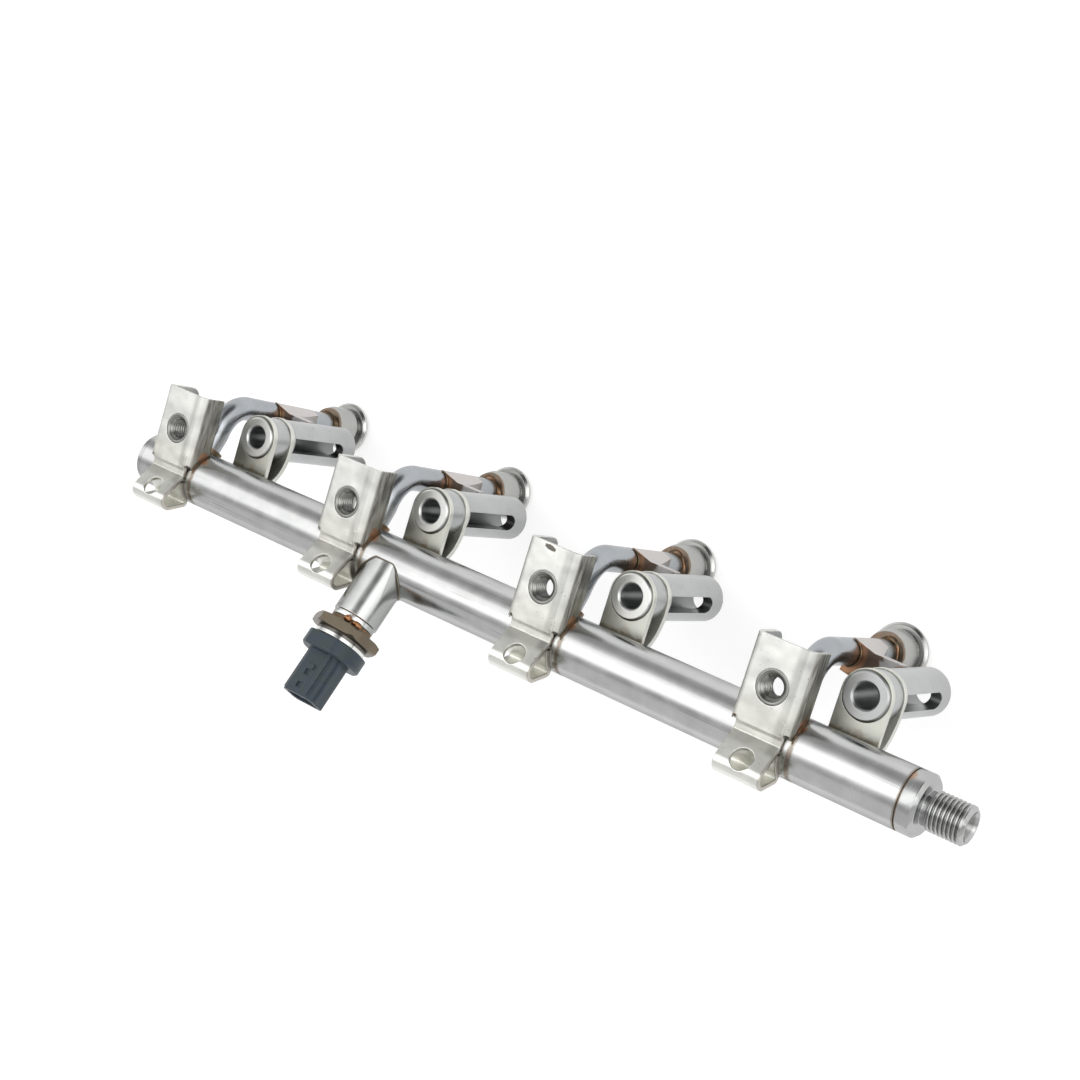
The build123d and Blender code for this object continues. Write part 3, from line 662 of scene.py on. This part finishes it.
# Paler edges: partly handling wear, partly a painted edge highlight.
slate = w.mixed(w.times(skin["Edges"], 0.5), slate, (0.12, 0.135, 0.155))
shader = plastic.node_tree.nodes["Principled BSDF"]
w.feed(shader.inputs["Base Color"], slate)
w.feed(shader.inputs["Roughness"], w.maths("MULTIPLY_ADD", skin["Lines"], 0.16, 0.38))
grain = w.node("ShaderNodeBump")
grain.inputs["Strength"].default_value = 0.12
grain.inputs["Distance"].default_value = 0.0002
w.feed(grain.inputs["Height"], skin["Lines"])
w.feed(grain.inputs["Normal"], skin["Normal"])
w.feed(shader.inputs["Normal"], grain.outputs["Normal"])
dress("sensor_connector", plastic)

# %% [markdown]
# ## Surfaces from arrays
# Each new shape is a grid of points, worked out with numpy as one array. The grid becomes
# four-sided faces. Where it closes on itself, the last row joins the first. Where it doesn't,
# each end is closed with a point in its middle. A solid's faces must look outward, so the sum
# of the signed volumes under the faces is checked and the faces are turned if it is negative.


# %% Grid to mesh
sharp_angle = np.radians(42.0)


def solid_from_grid(name, points, material, closed_path=True):
    """Makes a piece from points[row, side]. Rows follow a path, and sides go round it.

    Corner k of face (row, side) is the grid point one row or one side further on. The
    signed volume is the sum over triangles of a . (b x c) / 6."""
    rows, sides = points.shape[:2]
    places = points.reshape(-1, 3)
    index = np.arange(rows * sides).reshape(rows, sides)
    after = np.roll(index, -1, axis=0) if closed_path else index[1:]
    start = index if closed_path else index[:-1]
    quads = np.stack([start, np.roll(start, -1, 1), np.roll(after, -1, 1), after], -1)
    quads = quads.reshape(-1, 4)
    triangles = np.zeros((0, 3), int)
    if not closed_path:
        ends = np.array([points[0].mean(0), points[-1].mean(0)])
        places = np.vstack([places, ends])
        first, last = index[0], index[-1]
        head = np.stack([np.roll(first, -1), first, np.full(sides, rows * sides)], -1)
        tail = np.stack([last, np.roll(last, -1), np.full(sides, rows * sides + 1)], -1)
        triangles = np.vstack([head, tail])
    split = np.vstack([quads[:, [0, 1, 2]], quads[:, [0, 2, 3]], triangles])
    a, b, c = (places[split[:, k]] for k in range(3))
    if np.einsum("ij,ij->", a, np.cross(b, c)) < 0:
        quads, triangles = quads[:, ::-1], triangles[:, ::-1]
    mesh = bpy.data.meshes.new(name)
    mesh.from_pydata((places * MM).tolist(), [], quads.tolist() + triangles.tolist())
    mesh.shade_smooth()
    mesh.set_sharp_from_angle(angle=sharp_angle)
    mesh.materials.append(material)
    piece = bpy.data.objects.new(name, mesh)
    bpy.context.scene.collection.objects.link(piece)
    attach(piece, "root")
    return piece


# %% [markdown]
# ## Screw threads
# A thread is a turned surface whose radius also depends on the angle. Walk once round the axis
# and the wave has moved on by one pitch. The wave is a triangle with its tips cut off, as on a
# rolled thread, and it fades out at both ends. The inlet carries M14 x 1.5, on which a pipe's
# union screws. Each bracket nut carries M8 x 1.25 in its hole.
#
# A profile is a closed list of (radius, height), with heights along the axis. It starts in the
# bore, runs along the outside to the far end and comes back into the bore.


# %% Thread formulas
def softened(corners, cut):
    """Replaces each corner of a closed profile with three points of a small curve.

    The curve leaves each side at the cut length, or at 40% of a shorter side, and its middle
    point is a quarter of the sum of the two ends and twice the corner."""
    corners = np.asarray(corners, float)
    back = np.roll(corners, 1, 0) - corners
    ahead = np.roll(corners, -1, 0) - corners
    back_length = np.linalg.norm(back, axis=1, keepdims=True)
    ahead_length = np.linalg.norm(ahead, axis=1, keepdims=True)
    leave = corners + back / back_length * np.minimum(cut, 0.4 * back_length)
    arrive = corners + ahead / ahead_length * np.minimum(cut, 0.4 * ahead_length)
    middle = (leave + 2 * corners + arrive) / 4
    return np.stack([leave, middle, arrive], 1).reshape(-1, 2)


def with_rows(profile, start, end, step):
    """Adds rows on the long sides of a profile that lie between two places along the axis."""
    rows = []
    for here, there in zip(profile, np.roll(profile, -1, 0)):
        count = 1
        both_in = min(here[1], there[1]) > start - 1e-6 and max(here[1], there[1]) < end + 1e-6
        if both_in and abs(here[0] - there[0]) < 0.05:
            count = max(1, int(abs(here[1] - there[1]) / step))
        share = np.arange(count)[:, None] / count
        rows.append(here + (there - here) * share)
    return np.vstack(rows)


def threaded(profile, sides, pitch, depth, start, end, wall):
    """Turns a profile of (radius, height) rows and cuts a thread into the wall.

    The wave is 1 at the crest and 0 at the root: it is 1.5 - 4 |phase - 0.5|, held between 0
    and 1, where the phase is height / pitch less the share of a turn. The cut is depth times
    1 - wave, and fades over one pitch at each end. In a hole the depth is negative, since
    there the thread is cut outward."""
    turn = np.arange(sides) / sides
    radius, height = profile[:, :1], profile[:, 1:]
    phase = (height / pitch - turn[None, :]) % 1.0
    wave = np.clip(1.5 - np.abs(phase - 0.5) * 4.0, 0.0, 1.0)
    fade = np.clip((height - start) / pitch, 0, 1) * np.clip((end - height) / pitch, 0, 1)
    on_wall = (np.abs(radius - wall) < 0.05) * (height > start) * (height < end)
    cut = depth * (1.0 - wave) * np.sqrt(fade) * on_wall
    angle = 2 * np.pi * turn[None, :]
    return np.stack([(radius - cut) * np.cos(angle), (radius - cut) * np.sin(angle),
                     np.broadcast_to(height, phase.shape)], -1)


# %% Inlet fitting with its thread
inlet_start, inlet_end = (corner.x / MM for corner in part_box("inlet_fitting"))
stub_length, collar_length = 15.4, 6.5
bore, spigot, collar, groove, stub = 3.2, 7.45, tube_radius, 5.9, 6.9
shoulder = inlet_end - stub_length
neck = shoulder - collar_length
inlet_profile = softened([
    (bore, inlet_start), (spigot, inlet_start), (spigot, neck), (collar - 0.3, neck),
    (collar - 0.3, neck + 0.5), (collar, neck + 0.5), (collar, shoulder - 1.3),
    (collar - 1.3, shoulder), (groove, shoulder), (groove, shoulder + 1.6),
    (stub, shoulder + 2.6), (stub, inlet_end - 1.2), (stub - 1.2, inlet_end),
    (stub - 1.6, inlet_end), (bore, inlet_end - 3.6)], cut=0.12)
thread_start, thread_end = shoulder + 2.0, inlet_end - 0.9
inlet_rows = with_rows(inlet_profile, thread_start, thread_end, step=0.11)
inlet_points = threaded(inlet_rows, sides=96, pitch=1.5, depth=0.82,
                        start=thread_start, end=thread_end, wall=stub)
inlet_points = inlet_points[..., [2, 0, 1]] + np.array([0.0, tube_y, tube_z])
inlet = solid_from_grid("inlet_threaded", inlet_points, fitting_finish)
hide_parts("inlet_fitting")
print("inlet faces:", len(inlet.data.polygons))

# %% Bracket nuts with their threads
nut_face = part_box("bracket_nut_1")[1].z / MM
nut_hole, nut_body, nut_collar, nut_length = 3.5, 7.1, 6.1, 8.0
nut_profile = softened([
    (nut_hole, -nut_length), (nut_body - 0.5, -nut_length), (nut_body, 0.5 - nut_length),
    (nut_body, -1.55), (nut_collar, -1.55), (nut_collar, 0.0), (nut_collar - 0.9, 0.0),
    (nut_hole, -1.6)], cut=0.10)
nut_rows = with_rows(nut_profile, -nut_length, -1.4, step=0.12)
nut_points = threaded(nut_rows, sides=64, pitch=1.25, depth=-0.5, start=-8.2, end=-1.2,
                      wall=nut_hole)
for number, bolt in enumerate(bolt_places, start=1):
    placed = nut_points + np.array([bolt + bracket_x, nut_y, nut_face])
    nut = solid_from_grid(f"nut_threaded_{number}", placed, nut_finish)
    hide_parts(f"bracket_nut_{number}")
print("nut faces:", len(nut.data.polygons))

# %% [markdown]
# ## Fillets and drops of brazing metal
# Molten copper leaves a thin rounded line along a joint, thicker where it collected. Each line
# is a round bead carried along a path. Its radius swells and shrinks with a few sine waves, so
# no two look alike, and it is thinnest at both ends.


# %% Bead formulas
def bead(name, path, radius, seed, material=braze_finish, sides=10):
    """A round bead along a path of points.

    Each ring is centre + r (cos a * side + sin a * lift), where side and lift stand square to
    the path. The radius is the given one times 1 + 0.35 * waves, and it tapers at the ends as
    the fourth root of 4 s (1 - s), held above 0.02, where s goes from 0 to 1 along the path."""
    path = np.asarray(path, float)
    share = np.linspace(0.0, 1.0, len(path))
    draw = np.random.default_rng(seed)
    waves = sum(np.sin(2 * np.pi * (turns * share + draw.random()))
                for turns in (2.3, 5.1, 8.7)) / 3
    size = radius * (1 + 0.35 * waves) * np.clip(4 * share * (1 - share), 0.02, 1) ** 0.25
    along = np.gradient(path, axis=0)
    along /= np.linalg.norm(along, axis=1, keepdims=True)
    helper = np.where(np.abs(along[:, 2:3]) > 0.9, [[1.0, 0.0, 0.0]], [[0.0, 0.0, 1.0]])
    side = np.cross(along, helper)
    side /= np.linalg.norm(side, axis=1, keepdims=True)
    lift = np.cross(side, along)
    angle = np.linspace(0, 2 * np.pi, sides, endpoint=False)[None, :, None]
    ring = np.cos(angle) * side[:, None] + np.sin(angle) * lift[:, None]
    points = path[:, None] + ring * size[:, None, None]
    return solid_from_grid(name, points, material, closed_path=False)


def round_tube(x, angle, radius):
    """Points round the rail tube. The angle goes from straight up toward the cups."""
    x, turn = np.broadcast_arrays(x, np.radians(angle))
    return np.stack([x, tube_y + radius * np.sin(turn), tube_z + radius * np.cos(turn)], -1)


def on_link(x, y, radius, start, end, count):
    """Points of an arc round (x, y) on the front of a link, between two angles from +X."""
    turn = np.radians(np.linspace(start, end, count))
    return np.stack([x + radius * np.cos(turn), y + radius * np.sin(turn),
                     np.full(count, link_front)], -1)


# %% Beads of the four units
flange_offset = 11.7
for number, bolt in enumerate(bolt_places, start=1):
    left = round_tube(-9.55, np.linspace(156.0, 128.0, 16), radius=11.1)
    front = round_tube(np.linspace(-9.2, 9.2, 24), 126.5, radius=11.1)
    right = left[::-1] * [-1, 1, 1]
    bead(f"saddle_braze_{number}", np.vstack([left, front, right]) + [bolt, 0, 0], 0.42, number)
    for side, offset, low_angle, thick, seed in (
            ("near", flange_offset, 71.0, 0.30, 10 * number),
            ("far", -flange_offset, 110.0, 0.16, 10 * number + 1)):
        flange_x = bolt + bracket_x + offset
        arc = round_tube(flange_x, np.linspace(low_angle, 16.0, 28), radius=11.2)
        bead(f"bracket_braze_{side}_{number}", arc, thick, seed)
    beside_pipe = on_link(bolt + pipe_x, pipe_y, radius=5.35, start=-75, end=82, count=24)
    bead(f"link_braze_{number}", beside_pipe, 0.42, 30 + number)
    beside_boss = on_link(bolt, 0.0, radius=9.0, start=112, end=205, count=20)
    bead(f"boss_braze_{number}", beside_boss, 0.36, 40 + number)
print("beads made:", 5 * len(bolt_places))

# %% [markdown]
# ## The fillet round each cup's neck
# The pipe enters the cup through a flat top, and a ring of copper melted into the corner. It
# is a turned shape with a hollow flank: its radius falls from the edge of the neck to the pipe
# as the square of the share of height that is left. The pipe leans a little where it enters,
# so the ring leans with it.

# %% Cup fillets
pipe_wall, neck_spread, fillet_height, inside = 5.05, 0.95, 0.9, 4.4
cup_x, cup_y, cup_top, pipe_lean = -27.7, 3.95, -19.55, 0.077
rise = np.linspace(0.0, 1.0, 7)
flank = np.stack([pipe_wall + neck_spread * (1 - rise) ** 2, fillet_height * rise], -1)
fillet_profile = np.vstack([flank, [[inside, fillet_height], [inside, 0.0]]])
fillet_r, fillet_h = fillet_profile[:, :1], fillet_profile[:, 1:]
around = np.radians(np.arange(0, 360, 7.5))
for number, bolt in enumerate(bolt_places, start=1):
    flow = 1 + 0.10 * np.sin(3 * around + number)
    radius = fillet_r * np.where(fillet_r > 5.2, flow, 1.0)
    axis_x = bolt + cup_x + pipe_lean * fillet_h
    points = np.stack([axis_x + radius * np.cos(around), cup_y + radius * np.sin(around),
                       cup_top + np.broadcast_to(fillet_h, radius.shape)], -1)
    solid_from_grid(f"cup_fillet_{number}", points, braze_finish)
print("cup fillets:", len(bolt_places))

# %% [markdown]
# ## The flared root of the sensor port
# The port doesn't meet the tube in a sharp corner. Its root flares, most of all toward the
# inlet. The whole port is one ring of rows: a foot line on the tube's skin, a hollow curve up
# to the wall, the wall, the stepped end and the bore. Each row is worked out round the axis.
# The foot's reach is set at a few angles, and averaging neighbours nine times rounds it. Near
# the top of the tube it is held back, because the skin turns away from the port there.

# %% Port flare
port_step, skin_radius, sunk, wall_end = 3.0, 11.05, 0.05, 25.5
around = np.radians(np.arange(0, 360, port_step))[:, None]


def tube_height(local_y):
    """How far out along the port's axis the tube's skin lies: the root of 11.05^2 - y^2.

    Here y counts from the middle of the tube, and local_y from the axis of the port."""
    return np.sqrt(skin_radius ** 2 - (port_shift + local_y) ** 2)


foot_angles = [-180, -90, -50, -20, 0, 15, 29, 37, 45, 57, 76, 96, 114, 140, 180]
foot_reach = [9.7, 9.7, 9.6, 9.9, 11.5, 13.8, 15.2, 15.0, 13.8, 11.8, 10.3, 10.0, 9.9, 9.8, 9.7]
signed = (np.degrees(around) + 180) % 360 - 180
reach = np.interp(signed, foot_angles, foot_reach)
for _ in range(9):
    reach = (np.roll(reach, 1, 0) + 2 * reach + np.roll(reach, -1, 0)) / 4
cosine, sine = np.cos(around), np.sin(around)
reach = np.minimum(reach, 10.0 / np.maximum(sine, 0.1))
foot_height = tube_height(reach * sine) - sunk
wall_height = tube_height(port_radius * sine) + 2.2 + 1.5 * (reach - 9.6)

# %% Port rows
share = np.linspace(0.0, 1.0, 16)[None, :]
flare_r = port_radius + (reach - port_radius) * (1 - share) ** 2
flare_h = np.maximum(foot_height + (wall_height - foot_height) * share,
                     tube_height(flare_r * sine) - sunk + 0.6 * share)
wall_h = wall_height + (wall_end - wall_height) * np.linspace(0.12, 1.0, 8)[None, :]
wall_r = np.full_like(wall_h, port_radius)
end_r = np.tile([8.7, 8.7, 8.6, 8.3, 6.5, port_bore, port_bore, port_bore], (len(around), 1))
end_h = np.tile([26.0, 27.4, 27.75, 27.9, 27.9, 27.4, 14.0], (len(around), 1))
inner_foot = tube_height(port_bore * sine) - 0.4
port_r = np.hstack([flare_r, wall_r, end_r])[..., None]
port_h = np.hstack([flare_h, wall_h, end_h, inner_foot])[..., None]
port_points = (port_centre + port_r * cosine[..., None] * ahead
               + port_r * sine[..., None] * aside + port_h * out)
port_piece = solid_from_grid("port_flared", port_points, port_finish)
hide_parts("sensor_port")

# %% Braze line at the port's foot
foot = port_points[:, 0] + sunk * out
line_start, line_length = -75.0, 300.0
seen_foot = np.roll(foot, int(-line_start / port_step), 0)[:int(line_length / port_step)]
bead("port_braze", seen_foot, 0.34, 77, seam_finish)
print("port faces:", len(port_piece.data.polygons))

# %% [markdown]
# ## Copper drops at the sensor
# Two drops of copper sit between the end of the port and the hexagon. Each is a flattened
# ball whose skin is pushed in and out by a low wave, so it looks like a set drop.


# %% Drops
drop_reach = 9.5


def drop(name, along_axis, angle, size, seed):
    """A ball with its radius times 1 + 0.06 sin(3 a + seed) sin(2 b), sunk into the neck.

    The rows go from pole to pole by the angle b, and the sides go round by the angle a."""
    b = np.linspace(0.10, np.pi - 0.10, 22)[:, None]
    a = np.linspace(0, 2 * np.pi, 32, endpoint=False)[None, :]
    radius = 1 + 0.06 * np.sin(3 * a + seed) * np.sin(2 * b)
    ball = np.stack([radius * np.sin(b) * np.cos(a), radius * np.sin(b) * np.sin(a),
                     np.broadcast_to(radius * np.cos(b), radius.shape)], -1)
    turn = np.radians(angle)
    radial = np.cos(turn) * ahead + np.sin(turn) * aside
    tangent = np.cross(out, radial)
    centre = port_centre + along_axis * out + drop_reach * radial
    points = (centre + ball[..., :1] * size[0] * tangent + ball[..., 1:2] * size[1] * out
              + ball[..., 2:] * size[2] * radial)
    return solid_from_grid(name, points, copper_finish, closed_path=False)


drop("copper_drop_1", along_axis=28.4, angle=68.0, size=(1.6, 1.5, 1.5), seed=1.0)
drop("copper_drop_2", along_axis=28.8, angle=43.0, size=(2.1, 1.4, 1.4), seed=2.4)
print("drops made: 2")

# %% [markdown]
# ## The studio
# A product picture is lit from large soft boxes. Their long white strips, and the grey gaps
# between them, are what bright steel shows. The world holds them: its brightness depends on the
# angle round the rail's length, where 0 is straight up. A white box stands past the inlet end,
# and a dark stand on the side of the cups gives the steel something dark to mirror. The camera
# itself sees plain white. The floor is pale, keeps a faint shadow and glows a little to the
# camera and in reflections, so that it melts into the white.

# %% World
world = bpy.data.worlds.new("studio")
world.use_nodes = True
bpy.context.scene.world = world
w = Wiring(world.node_tree)
direction = w.node("ShaderNodeTexCoord").outputs["Generated"]
dx, dy, dz = w.parts(direction)[:3]
lean = w.times(w.maths("ARCTAN2", w.times(dy, -1.0), dz), 180 / np.pi)
glow = 0.79
strip = w.band(lean, -44.0, -37.0, 4.0, 12.0)
gap = w.band(lean, 14.0, 22.0, 30.0, 40.0)
rear_gap = w.band(lean, -95.0, -75.0, -60.0, -48.0)
stand = w.times(w.band(dx, -0.14, 0.0, 0.42, 0.54), w.span(dy, 0.35, 0.50))
side_box = w.times(w.span(dx, 0.52, 0.62), w.span(dy, 0.10, 0.26))
for mask, gain in ((strip, 0.92), (gap, -0.28), (rear_gap, -0.34), (side_box, 0.75)):
    glow = w.maths("MULTIPLY_ADD", mask, gain, glow)
glow = w.times(glow, w.maths("MULTIPLY_ADD", stand, -0.86, 1.0))
seen = w.node("ShaderNodeLightPath").outputs["Is Camera Ray"]
glow = w.plus(w.times(w.minus(1.0, seen), glow), seen)
w.feed(world.node_tree.nodes["Background"].inputs["Color"], (1.0, 1.0, 1.0))
w.feed(world.node_tree.nodes["Background"].inputs["Strength"], glow)
print("world nodes:", len(world.node_tree.nodes))

# %% Lamp
key_data = bpy.data.lights.new("overhead_box", "AREA")
key_data.shape = "RECTANGLE"
key_data.size, key_data.size_y = 1.2, 0.5
key_data.energy = 1.0
key = bpy.data.objects.new("overhead_box", key_data)
key.location = (-0.25, 0.25, 1.1)
key.rotation_euler = (-key.location).to_track_quat("-Z", "Y").to_euler()
bpy.context.scene.collection.objects.link(key)
print("lamp:", key.name, key_data.energy, "W")

# %% Floor
half, clearance = 6.0, 0.0006
floor_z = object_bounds()[0].z - clearance
floor_mesh = bpy.data.meshes.new("studio_floor")
floor_mesh.from_pydata([(-half, -half, floor_z), (half, -half, floor_z), (half, half, floor_z),
                        (-half, half, floor_z)], [], [(0, 1, 2, 3)])
floor = bpy.data.objects.new("studio_floor", floor_mesh)
bpy.context.scene.collection.objects.link(floor)
floor_paint = bpy.data.materials.new("floor_paint")
floor_paint.use_nodes = True
w = Wiring(floor_paint.node_tree)
shader = floor_paint.node_tree.nodes["Principled BSDF"]
shader.inputs["Base Color"].default_value = (0.58, 0.58, 0.58, 1.0)
shader.inputs["Roughness"].default_value = 0.9
shader.inputs["Specular IOR Level"].default_value = 0.1
path = w.node("ShaderNodeLightPath").outputs
mirrored = w.maths("MAXIMUM", path["Is Glossy Ray"], path["Is Transmission Ray"])
watched = w.maths("MAXIMUM", path["Is Camera Ray"], mirrored)
glow = w.node("ShaderNodeEmission")
w.feed(glow.inputs["Strength"], w.times(watched, 0.54))
both = w.node("ShaderNodeAddShader")
w.feed(both.inputs[0], shader.outputs[0])
w.feed(both.inputs[1], glow.outputs[0])
w.feed(floor_paint.node_tree.nodes["Material Output"].inputs["Surface"], both.outputs[0])
floor_mesh.materials.append(floor_paint)
print("floor at", round(floor_z, 4))
